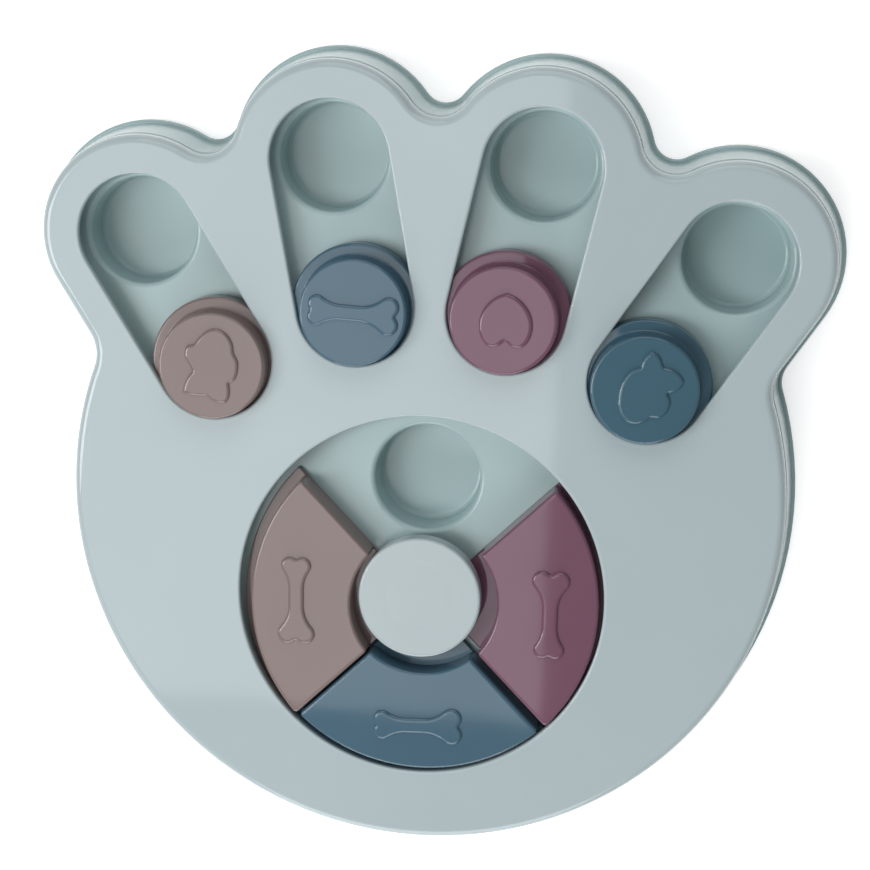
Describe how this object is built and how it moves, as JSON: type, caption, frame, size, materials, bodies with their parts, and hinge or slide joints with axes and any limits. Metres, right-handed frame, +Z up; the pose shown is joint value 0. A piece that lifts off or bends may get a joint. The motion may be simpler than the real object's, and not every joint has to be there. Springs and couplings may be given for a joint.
{
  "type": "dog puzzle feeder",
  "caption": "Paw-shaped puzzle feeder: food cups under a cover, round knobs that slide along the toe slots and quarter lids that turn round a hub in the palm.",
  "frame": {"origin": "on the surface the feet stand on, below the middle of the tray's plan", "axes": "+X to the paw's right seen from above, +Y from the heel to the toes, +Z up"},
  "size_m": [0.2872, 0.2886, 0.0355],
  "materials": {
    "cover_plastic": "moulded, semi-gloss, pale mint",
    "tray_plastic": "moulded, semi-gloss, pale mint",
    "cap_plastic": "moulded, semi-gloss, pale mint",
    "taupe_plastic": "moulded, semi-gloss, taupe",
    "slate_plastic": "moulded, semi-gloss, slate blue",
    "plum_plastic": "moulded, semi-gloss, plum",
    "deep_slate_plastic": "moulded, semi-gloss, dark slate blue",
    "screw_steel": "zinc-plated screws",
    "foot_rubber": "soft matt rubber, pale grey"
  },
  "bodies": {
    "body": {"top_cover": "cover_plastic", "base_tray": "tray_plastic", "hub_cap": "cap_plastic", "cover_screw_left_toes": "screw_steel", "cover_screw_middle_toes": "screw_steel", "cover_screw_right_toes": "screw_steel", "cover_screw_left_side": "screw_steel", "cover_screw_right_side": "screw_steel", "cover_screw_heel": "screw_steel", "hub_screw": "screw_steel", "foot_toe_outer_left": "foot_rubber", "foot_toe_inner_left": "foot_rubber", "foot_toe_inner_right": "foot_rubber", "foot_toe_outer_right": "foot_rubber", "foot_palm_left": "foot_rubber", "foot_palm_right": "foot_rubber"},
    "toe_slider_outer_left": {"toe_slider_outer_left": "taupe_plastic"},
    "toe_slider_inner_left": {"toe_slider_inner_left": "slate_plastic"},
    "toe_slider_inner_right": {"toe_slider_inner_right": "plum_plastic"},
    "toe_slider_outer_right": {"toe_slider_outer_right": "deep_slate_plastic"},
    "wheel_lid_left": {"wheel_lid_left": "taupe_plastic"},
    "wheel_lid_heel": {"wheel_lid_heel": "slate_plastic"},
    "wheel_lid_right": {"wheel_lid_right": "plum_plastic"}
  },
  "joints": [
    {"name": "slide_toe_outer_left", "type": "slide", "parent": "body", "child": "toe_slider_outer_left", "axis": [-0.5417, 0.8406, 0], "range_m": [0, 0.0546]},
    {"name": "slide_toe_inner_left", "type": "slide", "parent": "body", "child": "toe_slider_inner_left", "axis": [-0.2028, 0.9792, 0], "range_m": [0, 0.0546]},
    {"name": "slide_toe_inner_right", "type": "slide", "parent": "body", "child": "toe_slider_inner_right", "axis": [0.2028, 0.9792, 0], "range_m": [0, 0.0546]},
    {"name": "slide_toe_outer_right", "type": "slide", "parent": "body", "child": "toe_slider_outer_right", "axis": [0.5417, 0.8406, 0], "range_m": [0, 0.0546]},
    {"name": "wheel_turn", "type": "hinge", "parent": "body", "child": "wheel_lid_heel", "pos_m": [0, -0.04876, 0.02], "axis": [0, 0, 1], "continuous": true},
    {"name": "left_lid_turn", "type": "hinge", "parent": "wheel_lid_heel", "child": "wheel_lid_left", "pos_m": [0, -0.04876, 0.02], "axis": [0, 0, 1], "range_deg": [-90, 0]},
    {"name": "right_lid_turn", "type": "hinge", "parent": "wheel_lid_heel", "child": "wheel_lid_right", "pos_m": [0, -0.04876, 0.02], "axis": [0, 0, 1], "range_deg": [0, 90]}
  ]
}
